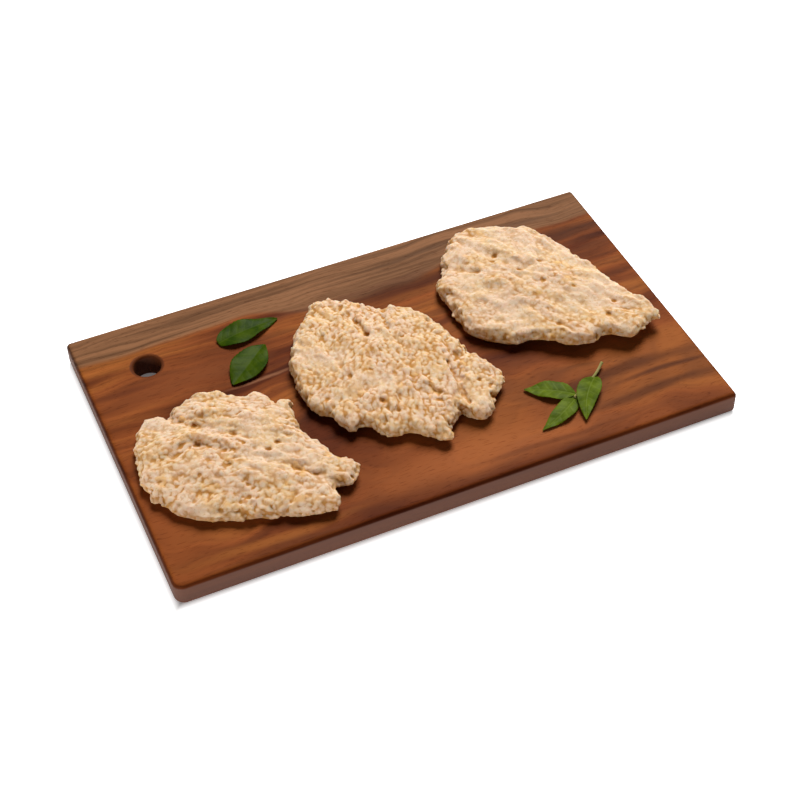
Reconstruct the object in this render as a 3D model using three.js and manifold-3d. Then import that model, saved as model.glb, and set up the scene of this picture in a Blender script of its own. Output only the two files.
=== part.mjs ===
// A serving board of breaded chicken: three craggy fillets, two basil leaves and a three-leaved sprig
// lie on a rectangular wooden board with a hanging hole.
//
// Millimetres, +Z up. The origin is the middle of the board's underside, +X runs along the board away
// from the hanging hole, and +Y points to the board's pale back edge.

import * as THREE from "three";
import { mergeVertices } from "three/addons/utils/BufferGeometryUtils.js";
import { ImprovedNoise } from "three/addons/math/ImprovedNoise.js";
import Module from "manifold-3d";

const wasm = await Module();
wasm.setup();

// ---------------------------------------------------------------------------------------------------
// The board: one plank, its outline and hanging hole eased on both faces with rounding cutters. Three
// corners are nearly square, and the one at the front left is rounder.
const BOARD_LENGTH = 336;
const BOARD_WIDTH = 203;
const BOARD_THICKNESS = 15;
const CORNER_RADII = { frontRight: 2.5, backRight: 2.5, backLeft: 2.5, frontLeft: 6 };
const SHARPEST_R = 0.3; // where the eased edge is wider than the corner's radius
const EASED_EDGE_R = 3;
const EASED_RIM_R = 2; // at the hole
const EASED_STEPS = 3;
const CORNER_STEPS = 4;
const HOLE_D = 16;
const HOLE_CENTRE = [-130, 62.5];
const HOLE_SIDES = 32;

// What lies on the board keeps this gap to it.
const REST_GAP = 0.3;
const TABLE_TOP = BOARD_THICKNESS + REST_GAP;

// ---------------------------------------------------------------------------------------------------
// The fillets: flattened chicken breasts in a thick, lumpy breading. Each one is its rim, seen from
// above, and its thickness. Directions are degrees from +X, towards +Y.
const BREADING_STEP = 3.1; // distance between neighbouring points of the breaded upper side
const UNDERSIDE_STEP = 7;
const SHOULDER_R = 5.5; // how far in from the rim the upper side has rounded off
const BELLY_R = 4; // the same for the underside
const RIM_HEIGHT = 3.5; // the widest line of the side, above what the rim rests on
const LUMP_SIZE = 7.5; // across one lump of breading
const LUMP_HEIGHT = 1.9;
const GRAIN_STRETCH = 1.6; // how much longer than wide the lumps and swells are
const RIM_GROOVE_SIZE = 7; // along the rim, from one groove in the side to the next
const RIM_GROOVE_DEPTH = 1;
const GROOVES_BEGIN = 0.7; // as a share of the way from the centre to the rim
const GROOVES_FULL = 0.95;
const LIFT_BEGINS = 0.5; // a tip bends up from here, as the same share
const TIP_SIDE_SHARE = 0.3; // of what a tip is thinner by, the part below its widest line
const MEAN_REACH = 58; // from a fillet's centre to its rim
const SWELL_SIZE = 24; // the slow unevenness of the meat itself
const SWELL_HEIGHT = 1.4;

const FILLETS = [
  {
    name: "fillet_left",
    centre: [-111, -33],
    rim: [
      [-48.2, -66.1], [-52.4, -62], [-57, -59.5], [-58.6, -50.5], [-67, -29.4], [-66.8, -8.9],
      [-68.2, -1.4], [-74.2, -3.3], [-76.8, 7.3], [-80, 12.2], [-86.5, 9.4], [-97.7, 18.3],
      [-108.9, 23.1], [-129, 17.6], [-134.3, 13.6], [-142.9, 17.3], [-152.6, 11.4], [-158.8, -8.4],
      [-163, -28], [-158.3, -41.8], [-149, -60.5], [-125, -73.5], [-97, -82], [-77, -90.5], [-68, -88],
      [-66.5, -76.5], [-57.5, -78],
    ],
    crown: 13.5,
    shoulder: 8.5,
    grain: -32,
    tips: [
      { direction: -28, thinner: 1.8, lift: 2, spread: 16 },
      { direction: -55, thinner: 1.5, lift: 1.5, spread: 14 },
      { direction: 28, thinner: 2, lift: 2, spread: 18 },
      { direction: 110, thinner: 1, lift: 0, spread: 30 },
    ],
    folds: [
      { line: [[-66, -74], [-73, -66], [-82, -58]], height: -2.1, width: 3 },
      { line: [[-134, 11], [-130, 2], [-120, -6]], height: -1.4, width: 3.5 },
      { line: [[-146, -10], [-128, -13], [-113, -22], [-103, -32]], height: 1.5, width: 4.5 },
      { line: [[-120, 6], [-100, -2], [-86, -16], [-74, -34]], height: 1.4, width: 4.5 },
      { line: [[-150, -30], [-132, -38], [-114, -52], [-92, -62]], height: 1.3, width: 4.5 },
    ],
  },
  {
    name: "fillet_middle",
    centre: [-8, -2],
    rim: [
      [53, -33], [49, -21], [44.6, -13], [40.8, -0.4], [36, 21.3], [30.8, 33.7], [21, 40.4],
      [12.7, 43.3], [8.1, 48.2], [-9, 63.6], [-19.6, 67.5], [-31.5, 61], [-45.9, 43.5], [-53.2, 29.6],
      [-59.2, 3], [-58, -17.3], [-50, -24], [-45, -39], [-35.5, -41.5], [-25, -52.5], [-11.9, -57.2],
      [3.5, -71.5], [8.2, -61.8], [15.5, -56], [20, -53.2], [24.8, -61.2], [33.5, -61.5], [39, -53],
      [48, -45.5],
    ],
    crown: 14,
    shoulder: 8.5,
    grain: 78,
    tips: [
      { direction: -38, thinner: 2, lift: 2.5, spread: 16 },
      { direction: -80, thinner: 2.2, lift: 2.5, spread: 14 },
      { direction: -125, thinner: 0.5, lift: 2, spread: 22 },
      { direction: 100, thinner: 1.5, lift: 0, spread: 25 },
    ],
    folds: [
      { line: [[43, -12], [31, -17], [27, -30], [24, -44], [20, -54]], height: -2.2, width: 3 },
      { line: [[24, -8], [20, -24], [17, -40], [9, -58]], height: 1.3, width: 5 },
      { line: [[-14, 52], [-9, 36], [-11, 22]], height: -1.4, width: 3 },
      { line: [[7, 45], [7, 28], [9, 12]], height: -1.4, width: 3 },
      { line: [[-32, 40], [-34, 24], [-26, 6]], height: -1.1, width: 3 },
    ],
  },
  {
    name: "fillet_right",
    centre: [100, 20],
    rim: [
      [155.3, -20], [151.9, -7.5], [145, 18.4], [134.4, 45.4], [130, 61], [122.8, 74], [112.6, 78.8],
      [102.1, 83.3], [94.8, 88.2], [85.7, 89.4], [76, 86.4], [61, 68.5], [57, 60], [50, 53], [47, 43],
      [48.5, 33], [47.8, 22], [49, 3], [58, -8], [69.5, -17], [80.5, -19], [92.2, -28.5],
      [105.9, -36.5], [121, -34], [134.5, -44], [141, -40], [147, -37], [155.8, -33.5],
    ],
    crown: 14,
    shoulder: 9,
    grain: -50,
    tips: [
      { direction: -38, thinner: 1.2, lift: 3.5, spread: 14 },
      { direction: -62, thinner: 1.5, lift: 4, spread: 16 },
      { direction: -100, thinner: 0, lift: 3.5, spread: 30 },
      { direction: 98, thinner: 1.5, lift: 0, spread: 30 },
    ],
    folds: [
      { line: [[84, 62], [92, 46], [100, 34]], height: -1.4, width: 3 },
      { line: [[92, 62], [102, 44], [112, 22], [122, 2]], height: 1.3, width: 6 },
      { line: [[57, 60], [64, 54], [72, 46]], height: -1.3, width: 3 },
      { line: [[147, -37], [143, -30], [138, -23]], height: -1, width: 2.5 },
    ],
  },
];

// ---------------------------------------------------------------------------------------------------
// Basil: thin blades with a folded midrib and a wavy edge. Blades lie on the board.
const BLADE_THICKNESS = 0.6;
const BLADE_STATIONS = 12;
const BLADE_STRIPS = 3; // from the midrib to each edge
const BLADE_FROM = 0.02; // the blade's mesh begins and ends just short of its two points
const BLADE_TO = 0.985;
const BLADE_END_THICKNESS = 0.7; // as a share of the rest
const BLADE_FULLNESS = 0.9; // below 1 the outline is rounder
const TIP_DROP = 0.35; // how much less the arch rises towards the tip
const EDGE_WAVES = 2.25; // along one edge
const STEM_R = 0.8;
const STEM_SIDES = 8;
const STEM_STEPS = 12;

const LOOSE_LEAVES = [
  {
    name: "leaf_back",
    base: [-87, 61.5],
    tip: [-46.5, 67],
    width: 18,
    widest: 0.36,
    bow: 0.5,
    lift: 0.2,
    arch: 1.2,
    fold: 0.12,
    wave: 0.6,
  },
  {
    name: "leaf_front",
    base: [-61.5, 50],
    tip: [-90.5, 25],
    width: 20.5,
    widest: 0.5,
    bow: 0.5,
    lift: 0.2,
    arch: 1.2,
    fold: 0.12,
    wave: 0.5,
  },
];

// The sprig's stem rises at its free end and runs under the last leaf to the joint of the other two.
const SPRIG_STEM = [[108.5, -49.5, 2.6], [100.5, -56, 1.6], [91, -61, 1.1], [82, -66.5, 1]];
const SPRIG_LEAVES = [
  {
    base: [84.5, -64.5],
    tip: [58.5, -48.5],
    width: 14,
    widest: 0.42,
    bow: -0.5,
    lift: 0.4,
    arch: 1.2,
    fold: 0.14,
    wave: 0.5,
  },
  {
    base: [83, -66.5],
    tip: [54, -81.5],
    width: 11.5,
    widest: 0.36,
    bow: 1.5,
    lift: 0.2,
    arch: 1.2,
    fold: 0.14,
    wave: 0.5,
  },
  {
    base: [100, -57],
    tip: [79.5, -85.5],
    width: 13.5,
    widest: 0.34,
    bow: -2,
    lift: 1.4,
    arch: 1.4,
    fold: 0.2,
    wave: 0.4,
  },
];

// ---------------------------------------------------------------------------------------------------
// Shared pieces of arithmetic.

const radians = THREE.MathUtils.degToRad;
const smooth = THREE.MathUtils.smoothstep;
const noise = new ImprovedNoise();

// A closed, indexed geometry from points and triangles.
function closedGeometry(points, triangles) {
  const geometry = new THREE.BufferGeometry();
  geometry.setFromPoints(points);
  geometry.setIndex(triangles.flat());
  return geometry;
}

// The same geometry as a manifold-3d solid, and a solid as a geometry.
function toSolid(geometry) {
  const bare = geometry.clone();
  bare.deleteAttribute("normal");
  bare.deleteAttribute("uv");
  const merged = mergeVertices(bare);
  return new wasm.Manifold(
    new wasm.Mesh({
      numProp: 3,
      vertProperties: merged.attributes.position.array,
      triVerts: new Uint32Array(merged.index.array),
    }),
  );
}

function toGeometry(solid) {
  const mesh = solid.getMesh();
  const geometry = new THREE.BufferGeometry();
  geometry.setAttribute("position", new THREE.BufferAttribute(mesh.vertProperties, 3));
  geometry.setIndex(new THREE.BufferAttribute(mesh.triVerts, 1));
  return geometry;
}

// The distance from (x, y) to a line of points.
function distanceToLine(x, y, line) {
  let nearest = Infinity;
  for (let i = 1; i < line.length; i++) {
    const [ax, ay] = line[i - 1];
    const [bx, by] = line[i];
    const along = ((x - ax) * (bx - ax) + (y - ay) * (by - ay)) / ((bx - ax) ** 2 + (by - ay) ** 2);
    const share = THREE.MathUtils.clamp(along, 0, 1);
    nearest = Math.min(nearest, Math.hypot(x - ax - share * (bx - ax), y - ay - share * (by - ay)));
  }
  return nearest;
}

// A bell of height 1 at zero.
const bell = (distance, width) => Math.exp(-((distance / width) ** 2));

// ---------------------------------------------------------------------------------------------------
// The board.

// The heights of the rings that round off both edges of a wall, each with how far it stands back.
function easedHeights(radius) {
  const lower = [];
  for (let step = 0; step <= EASED_STEPS; step++) {
    const turn = (step / EASED_STEPS) * (Math.PI / 2);
    lower.push({ back: radius * (1 - Math.sin(turn)), z: radius * (1 - Math.cos(turn)) });
  }
  const upper = lower.map(({ back, z }) => ({ back, z: BOARD_THICKNESS - z }));
  return [...lower, ...upper.reverse()];
}

// The board's outline at one height, counterclockwise.
function boardRing({ back, z }) {
  const ring = [];
  const corners = [[1, -1, "frontRight"], [1, 1, "backRight"], [-1, 1, "backLeft"], [-1, -1, "frontLeft"]];
  corners.forEach(([sideX, sideY, corner], quarter) => {
    const r = Math.max(CORNER_RADII[corner] - back, SHARPEST_R);
    const x = sideX * (BOARD_LENGTH / 2 - back - r);
    const y = sideY * (BOARD_WIDTH / 2 - back - r);
    for (let step = 0; step <= CORNER_STEPS; step++) {
      const turn = (quarter - 1 + step / CORNER_STEPS) * (Math.PI / 2);
      ring.push(new THREE.Vector3(x + r * Math.cos(turn), y + r * Math.sin(turn), z));
    }
  });
  return ring;
}

// The hole's round at one height, counterclockwise.
function holeRing({ back, z }) {
  const ring = [];
  const r = HOLE_D / 2 + back;
  for (let side = 0; side < HOLE_SIDES; side++) {
    const turn = (side / HOLE_SIDES) * 2 * Math.PI;
    ring.push(new THREE.Vector3(HOLE_CENTRE[0] + r * Math.cos(turn), HOLE_CENTRE[1] + r * Math.sin(turn), z));
  }
  return ring;
}

// A closed stack of convex rings that all have as many points, from the lowest up.
function stackGeometry(rings) {
  const count = rings[0].length;
  const top = (rings.length - 1) * count;
  const triangles = [];
  for (let low = 0; low < top; low += count) {
    const high = low + count;
    for (let i = 0; i < count; i++) {
      const next = (i + 1) % count;
      triangles.push([low + i, low + next, high + next], [low + i, high + next, high + i]);
    }
  }
  for (let i = 1; i < count - 1; i++) {
    triangles.push([0, i + 1, i], [top, top + i, top + i + 1]);
  }
  return closedGeometry(rings.flat(), triangles);
}

function boardGeometry() {
  const plank = stackGeometry(easedHeights(EASED_EDGE_R).map(boardRing));
  // The cutter reaches past both faces.
  const reach = { back: EASED_RIM_R, z: -1 };
  const heights = [reach, ...easedHeights(EASED_RIM_R), { ...reach, z: BOARD_THICKNESS + 1 }];
  const cutter = stackGeometry(heights.map(holeRing));
  return toGeometry(toSolid(plank).subtract(toSolid(cutter)));
}

// ---------------------------------------------------------------------------------------------------
// The fillets.

// The closed rim as a curve through its points.
function rimCurve(fillet) {
  const points = fillet.rim.map(([x, y]) => new THREE.Vector3(x, y, 0));
  return new THREE.CatmullRomCurve3(points, true, "centripetal");
}

// What the thin, raised tips take off the thickness, and how far they lift the rim, in one direction.
function tipEffect(fillet, direction, what) {
  return fillet.tips.reduce((sum, tip) => {
    const turn = THREE.MathUtils.euclideanModulo(direction - tip.direction + 180, 360) - 180;
    return sum + tip[what] * bell(turn, tip.spread);
  }, 0);
}

// A quarter round of the given radius, from 0 at the rim to 1 further in.
function rounding(inset, radius) {
  const out = 1 - Math.min(inset / radius, 1);
  return Math.sqrt(1 - out * out);
}

// A point of the smooth, unbreaded body. share is 0 at the centre and 1 at the rim.
function bodyPoint(fillet, rimPoint, share, upper) {
  const [cx, cy] = fillet.centre;
  const dx = rimPoint.x - cx;
  const dy = rimPoint.y - cy;
  const direction = THREE.MathUtils.radToDeg(Math.atan2(dy, dx));
  const inset = (1 - share) * Math.hypot(dx, dy);
  const bottom = tipEffect(fillet, direction, "lift") * smooth(share, LIFT_BEGINS, 1);
  const thin = tipEffect(fillet, direction, "thinner");
  const rimHeight = bottom + RIM_HEIGHT - thin * TIP_SIDE_SHARE;
  const thickness = fillet.crown - (fillet.crown - fillet.shoulder + thin) * share * share;
  const z = upper
    ? rimHeight + (bottom + thickness - rimHeight) * rounding(inset, SHOULDER_R)
    : rimHeight + (bottom - rimHeight) * rounding(inset, BELLY_R);
  return new THREE.Vector3(cx + share * dx, cy + share * dy, TABLE_TOP + z);
}

// Noise from -1 to 1 as rounded lumps with creases between them, about as much above 0 as below.
const ridges = (value) => Math.abs(value) * 2 - 0.5;

// How far the breading stands out from the body at a point: lumps drawn out along the grain of the
// meat, its slow swells, the grooves that run down the side, and the folds that each fillet has.
function breadingHeight(fillet, p, share) {
  const turn = radians(fillet.grain);
  const along = (p.x * Math.cos(turn) + p.y * Math.sin(turn)) / GRAIN_STRETCH;
  const across = -p.x * Math.sin(turn) + p.y * Math.cos(turn);
  const lumps = ridges(noise.noise(along / LUMP_SIZE, across / LUMP_SIZE, p.z / LUMP_SIZE));
  const swells = noise.noise(along / SWELL_SIZE, across / SWELL_SIZE, fillet.crown);
  const [cx, cy] = fillet.centre;
  const aroundRim = (Math.atan2(p.y - cy, p.x - cx) * MEAN_REACH) / RIM_GROOVE_SIZE;
  const ribs = ridges(noise.noise(aroundRim, fillet.grain, 0.5));
  const grooves = ribs * smooth(share, GROOVES_BEGIN, GROOVES_FULL);
  const folds = fillet.folds.reduce(
    (sum, fold) => sum + fold.height * bell(distanceToLine(p.x, p.y, fold.line), fold.width),
    0,
  );
  return LUMP_HEIGHT * lumps + SWELL_HEIGHT * swells + RIM_GROOVE_DEPTH * grooves + folds;
}

// Where the rings of one face lie: evenly round the quarter round, then evenly in to the centre.
function ringShares(reach, radius, step) {
  const roundedRings = Math.round((radius * Math.PI) / 2 / step);
  const flatRings = Math.round((reach - radius) / step);
  const insets = [];
  for (let i = 0; i < roundedRings; i++) {
    insets.push(radius * (1 - Math.cos(((i / roundedRings) * Math.PI) / 2)));
  }
  for (let i = 0; i <= flatRings; i++) {
    insets.push(radius + ((reach - radius) * i) / flatRings);
  }
  return insets.map((inset) => 1 - inset / reach);
}

// Fills the band between two closed rings of points, which may differ in number.
function bandTriangles(outer, inner) {
  const triangles = [];
  let i = 0;
  let j = inner.count === 1 ? 1 : 0; // the single point at the centre has no sides of its own
  while (i < outer.count || j < inner.count) {
    const a = outer.first + (i % outer.count);
    const b = inner.first + (j % inner.count);
    const outerIsNext = (i + 1) / outer.count <= (j + 1) / inner.count;
    if (i < outer.count && (outerIsNext || j === inner.count)) {
      i++;
      triangles.push([a, outer.first + (i % outer.count), b]);
    } else {
      j++;
      triangles.push([a, inner.first + (j % inner.count), b]);
    }
  }
  return triangles;
}

function filletGeometry(fillet) {
  const curve = rimCurve(fillet);
  const perimeter = curve.getLength();
  const reach = perimeter / (2 * Math.PI);
  const points = [];
  const shares = [];
  const addRing = (share, upper, step) => {
    const count = Math.max(1, Math.round((perimeter * share) / step));
    const ring = { first: points.length, count };
    for (let i = 0; i < count; i++) {
      points.push(bodyPoint(fillet, curve.getPointAt(i / count), share, upper));
      shares.push(share);
    }
    return ring;
  };
  const upperShares = ringShares(reach, SHOULDER_R, BREADING_STEP);
  const lowerShares = ringShares(reach, BELLY_R, UNDERSIDE_STEP).slice(1); // both faces share the rim
  const upperRings = upperShares.map((share) => addRing(share, true, BREADING_STEP));
  const lowerRings = [upperRings[0], ...lowerShares.map((share) => addRing(share, false, UNDERSIDE_STEP))];
  const triangles = [];
  upperRings.slice(1).forEach((ring, i) => {
    triangles.push(...bandTriangles(upperRings[i], ring));
  });
  lowerRings.slice(1).forEach((ring, i) => {
    const band = bandTriangles(lowerRings[i], ring);
    triangles.push(...band.map(([a, b, c]) => [a, c, b]));
  });
  const geometry = closedGeometry(points, triangles);
  geometry.computeVertexNormals();
  const normals = geometry.attributes.normal;
  points.forEach((p, i) => {
    const normal = new THREE.Vector3().fromBufferAttribute(normals, i);
    const offBoard = smooth(p.z - TABLE_TOP, 0, RIM_HEIGHT); // the underside stays plain
    p.addScaledVector(normal, breadingHeight(fillet, p, shares[i]) * offBoard);
    p.z = Math.max(p.z, TABLE_TOP);
  });
  return closedGeometry(points, triangles);
}

// ---------------------------------------------------------------------------------------------------
// The basil.

// The middle of a blade at (along, side), along from 0 at the base to 1 at the tip and side from -1 to 1.
function bladePoint(leaf, along, side) {
  const base = new THREE.Vector2(...leaf.base);
  const tip = new THREE.Vector2(...leaf.tip);
  const axis = tip.clone().sub(base);
  const length = axis.length();
  axis.normalize();
  const left = new THREE.Vector2(-axis.y, axis.x);
  // The half width rises to its widest place and runs out in a drawn-out tip.
  const rise = Math.log(0.5) / Math.log(leaf.widest);
  const halfWidth = (leaf.width / 2) * Math.sin(Math.PI * along ** rise) ** BLADE_FULLNESS;
  const offset = leaf.bow * Math.sin(Math.PI * along) + side * halfWidth;
  const place = base.clone().addScaledVector(axis, along * length).addScaledVector(left, offset);
  const wave = leaf.wave * side * side * Math.sin(along * EDGE_WAVES * 2 * Math.PI + side);
  const raised = leaf.arch * Math.sin(Math.PI * along) * (1 - TIP_DROP * along);
  const folded = leaf.fold * Math.abs(side) * halfWidth;
  return new THREE.Vector3(place.x, place.y, TABLE_TOP + Math.max(leaf.lift + raised + folded + wave, 0));
}

// The blade's two faces are split alike and joined along the edge; base and tip come to a point.
function bladeGeometry(leaf) {
  const points = [];
  const rows = [];
  for (const face of [1, 0]) {
    for (let i = 0; i <= BLADE_STATIONS; i++) {
      const row = [];
      const end = i === 0 || i === BLADE_STATIONS;
      const along = THREE.MathUtils.lerp(BLADE_FROM, BLADE_TO, i / BLADE_STATIONS);
      for (let k = -BLADE_STRIPS; k <= BLADE_STRIPS; k++) {
        row.push(points.length);
        const p = bladePoint(leaf, along, k / BLADE_STRIPS);
        p.z += face * BLADE_THICKNESS * (end ? BLADE_END_THICKNESS : 1);
        points.push(p);
      }
      rows.push(row);
    }
  }
  const upper = rows.slice(0, BLADE_STATIONS + 1);
  const lower = rows.slice(BLADE_STATIONS + 1);
  const triangles = [];
  const quad = (a, b, c, d) => triangles.push([a, b, c], [a, c, d]);
  for (let i = 0; i < BLADE_STATIONS; i++) {
    for (let k = 0; k < 2 * BLADE_STRIPS; k++) {
      quad(upper[i][k], upper[i + 1][k], upper[i + 1][k + 1], upper[i][k + 1]);
      quad(lower[i][k], lower[i][k + 1], lower[i + 1][k + 1], lower[i + 1][k]);
    }
    const last = 2 * BLADE_STRIPS;
    quad(upper[i][0], lower[i][0], lower[i + 1][0], upper[i + 1][0]);
    quad(upper[i][last], upper[i + 1][last], lower[i + 1][last], lower[i][last]);
  }
  for (let k = 0; k < 2 * BLADE_STRIPS; k++) {
    quad(upper[0][k], upper[0][k + 1], lower[0][k + 1], lower[0][k]);
    const end = BLADE_STATIONS;
    quad(upper[end][k], lower[end][k], lower[end][k + 1], upper[end][k + 1]);
  }
  return closedGeometry(points, triangles);
}

function stemGeometry() {
  const section = new THREE.Shape();
  section.absarc(0, 0, STEM_R, 0, 2 * Math.PI);
  const route = SPRIG_STEM.map(([x, y, height]) => new THREE.Vector3(x, y, TABLE_TOP + height));
  return new THREE.ExtrudeGeometry(section, {
    extrudePath: new THREE.CatmullRomCurve3(route),
    steps: STEM_STEPS,
    curveSegments: STEM_SIDES / 2,
  });
}

// ---------------------------------------------------------------------------------------------------
// Materials and the object.

const acacia = new THREE.MeshStandardMaterial({ color: 0x7d4526, roughness: 0.55, metalness: 0 });
const breading = new THREE.MeshStandardMaterial({ color: 0xdfc19a, roughness: 0.85, metalness: 0 });
const basil = new THREE.MeshStandardMaterial({ color: 0x3f6b25, roughness: 0.5, metalness: 0 });

function mesh(name, geometry, material) {
  const made = new THREE.Mesh(geometry, material);
  made.name = name;
  return made;
}

const object = new THREE.Group();
object.add(mesh("board", boardGeometry(), acacia));
for (const fillet of FILLETS) {
  object.add(mesh(fillet.name, filletGeometry(fillet), breading));
}
for (const leaf of LOOSE_LEAVES) {
  object.add(mesh(leaf.name, bladeGeometry(leaf), basil));
}
const sprig = SPRIG_LEAVES.reduce(
  (whole, leaf) => whole.add(toSolid(bladeGeometry(leaf))),
  toSolid(stemGeometry()),
);
object.add(mesh("sprig", toGeometry(sprig), basil));

export default object;
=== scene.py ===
# A board of breaded chicken: three crumb-coated fillets, two loose basil leaves and a sprig of basil
# on an acacia serving board. Metres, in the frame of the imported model: +X runs along the board away
# from the hanging hole, +Y to its pale back edge, +Z up, and z = 0 is the board's underside.

import math

import bmesh
import bpy
import numpy as np
from mathutils import Matrix, Vector, kdtree, noise


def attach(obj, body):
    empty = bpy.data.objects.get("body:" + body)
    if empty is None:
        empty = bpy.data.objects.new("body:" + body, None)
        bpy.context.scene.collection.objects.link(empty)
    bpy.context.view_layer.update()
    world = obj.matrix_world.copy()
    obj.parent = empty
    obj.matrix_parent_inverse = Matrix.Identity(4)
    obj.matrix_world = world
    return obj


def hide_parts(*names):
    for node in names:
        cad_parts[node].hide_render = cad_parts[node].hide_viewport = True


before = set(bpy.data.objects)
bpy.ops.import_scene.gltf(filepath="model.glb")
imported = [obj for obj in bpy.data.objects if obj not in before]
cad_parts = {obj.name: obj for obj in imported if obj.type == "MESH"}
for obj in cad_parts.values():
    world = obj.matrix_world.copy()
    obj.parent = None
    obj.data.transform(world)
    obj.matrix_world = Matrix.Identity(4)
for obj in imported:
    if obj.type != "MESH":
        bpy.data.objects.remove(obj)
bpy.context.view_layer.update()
MM = 0.001

# ------------------------------------------------------------------------------------------------
# The camera, at the photograph's viewpoint: a long lens about a metre away, looking down at 46
# degrees from the front left. It was solved from the straight edges of the board.

LENS_MM = 78.1
SENSOR_MM = 36.0
VIEW_AZIMUTH = math.radians(-22.4)
VIEW_ELEVATION = math.radians(45.6)
VIEW_ROLL = math.radians(-1.88)
CAMERA_PLACE = Vector((-270.4, -662.5, 718.7)) * MM

backward = Vector((
    math.sin(VIEW_AZIMUTH) * math.cos(VIEW_ELEVATION),
    -math.cos(VIEW_AZIMUTH) * math.cos(VIEW_ELEVATION),
    math.sin(VIEW_ELEVATION),
))
level = Vector((math.cos(VIEW_AZIMUTH), math.sin(VIEW_AZIMUTH), 0.0))
rightward = Matrix.Rotation(VIEW_ROLL, 3, backward) @ level
upward = backward.cross(rightward)
camera = bpy.data.objects.new("camera", bpy.data.cameras.new("camera"))
camera.data.lens = LENS_MM
camera.data.sensor_width = SENSOR_MM
camera.data.clip_start = 0.05
camera_turn = Matrix((rightward, upward, backward)).transposed().to_4x4()
camera.matrix_world = Matrix.Translation(CAMERA_PLACE) @ camera_turn
bpy.context.scene.collection.objects.link(camera)
bpy.context.scene.camera = camera

# ------------------------------------------------------------------------------------------------
# The board: one plank of acacia, planed, sanded, its edges eased with a rounding cutter, and oiled.
# A strip of pale sapwood is left along the back edge, and the reddish heartwood has darker streaks.
# One hole is bored near a corner to hang it by, with its rims eased like the edges.

BOARD_LENGTH = 336
BOARD_WIDTH = 203
BOARD_THICKNESS = 15
CORNER_RADII = (2.5, 2.5, 2.5, 6)  # front right, back right, back left, front left
SHARPEST_R = 0.3  # where the eased edge is wider than the corner's radius
EASED_EDGE_R = 3
EASED_RIM_R = 2
HOLE_R = 8
HOLE_CENTRE = (-130, 62.5)
CORNER_STEPS = 12
EDGE_STEPS = 7
FLAT_RING = 1
HOLE_SIDES = 72
# The growth rings run round a pith that lay in front of the board's middle and well below it.
PITH_Y = -60
PITH_Z = -150
SAPWOOD_EDGE_Y = 77
SAPWOOD_DIP = 7
SAPWOOD_DIP_X = 12
SAPWOOD_DIP_REACH = 75
SAPWOOD_BLUR = 1.5
FIBRE_WANDER = 11
# Width and blur of the painted shade round the hole's eased rim.
HOLE_RIM_PAINTED_SHADE_WIDTH = 2.6
HOLE_RIM_PAINTED_SHADE_BLUR = 1.1
HEARTWOOD_DARK = "#5f2a10"
HEARTWOOD = "#8c4a22"
HEARTWOOD_LIGHT = "#a5602b"
SAPWOOD_DARK = "#604029"
SAPWOOD = "#8a5f40"
# Painted grey sheen and painted shade on the upright sides.
SIDE_PAINTED_SHEEN_AND_SHADE = "#654a40"
# Painted shade round the hole's eased rim.
HOLE_RIM_PAINTED_SHADE = "#5a2f1a"
# Painted shade on the eased edges.
EASED_EDGE_PAINTED_SHADE = "#a89a94"
PORE_SHADE = "#ddd4cf"
# Streaks that stand out in the grain, and two dark ones that are partly painted shadow beside the fillets:
# middle x and y, half length, half width, colour and strength.
STREAKS = (
    # Partly painted shadow: the dark between the middle fillet's back and the right fillet's left edge.
    (40, 62, 70, 10, "#3f1c0e", 0.75),
    (140, 66, 50, 9, "#54301c", 0.65),
    (-118, 42, 60, 15, "#8f4e28", 0.6),
    # Partly painted shadow: the dark beside the middle fillet's left edge.
    (-20, -12, 60, 12, "#4a2412", 0.5),
    (-71, 24, 26, 1.3, "#a5704f", 0.5),
    (-150, 46, 30, 2.6, "#4c2214", 0.45),
    (-50, 33, 34, 3.0, "#4c2214", 0.4),
    (15, -84, 95, 16, "#a85f31", 0.55),
    (112, -57, 60, 5.0, "#47220f", 0.75),
    (142, -66, 36, 2.2, "#3d1c10", 0.7),
    (128, -78, 52, 3.4, "#47220f", 0.7),
    (60, -90, 60, 2.4, "#5a2c14", 0.5),
    (-110, -91, 50, 4, "#a2602a", 0.5),
    (95, 86, 70, 2.6, "#59402f", 0.5),
    (-20, 70, 90, 2.2, "#5a3423", 0.35),
)


def linear(hex_colour):
    """An sRGB hex colour as the four linear numbers that a socket takes."""
    channels = [int(hex_colour[i : i + 2], 16) / 255 for i in (1, 3, 5)]
    return tuple(c / 12.92 if c <= 0.04045 else ((c + 0.055) / 1.055) ** 2.4 for c in channels) + (1.0,)


def new_material(name):
    """An empty node material with its Principled shader joined to the output."""
    material = bpy.data.materials.new(name)
    material.use_nodes = True
    material.node_tree.nodes.clear()
    shader = add_node(material, "ShaderNodeBsdfPrincipled")
    add_node(material, "ShaderNodeOutputMaterial", {"Surface": shader.outputs[0]})
    return material, shader


def add_node(material, kind, sockets=(), **settings):
    """Adds a node: its settings by name, and for each socket the value or the output that feeds it."""
    node = material.node_tree.nodes.new(kind)
    for name, value in settings.items():
        setattr(node, name, value)
    for socket, value in dict(sockets).items():
        if isinstance(value, bpy.types.NodeSocket):
            material.node_tree.links.new(value, node.inputs[socket])
        else:
            node.inputs[socket].default_value = value
    return node


def tinted(material, under, colour, value, low, high, most=1.0):
    """Lays a colour over another where a value goes from low to high, up to the most it may cover."""
    span = {"Value": value, "From Min": low, "From Max": high, "To Max": most}
    share = add_node(material, "ShaderNodeMapRange", span, interpolation_type="SMOOTHSTEP").outputs[0]
    return add_node(material, "ShaderNodeMix", {0: share, 6: under, 7: colour}, data_type="RGBA").outputs[2]


def mesh_piece(name, points, faces):
    """An object made from a list of points in metres and a list of faces."""
    made = bpy.data.meshes.new(name)
    made.from_pydata([tuple(p) for p in points], [], faces)
    piece = bpy.data.objects.new(name, made)
    bpy.context.scene.collection.objects.link(piece)
    return piece


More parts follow.
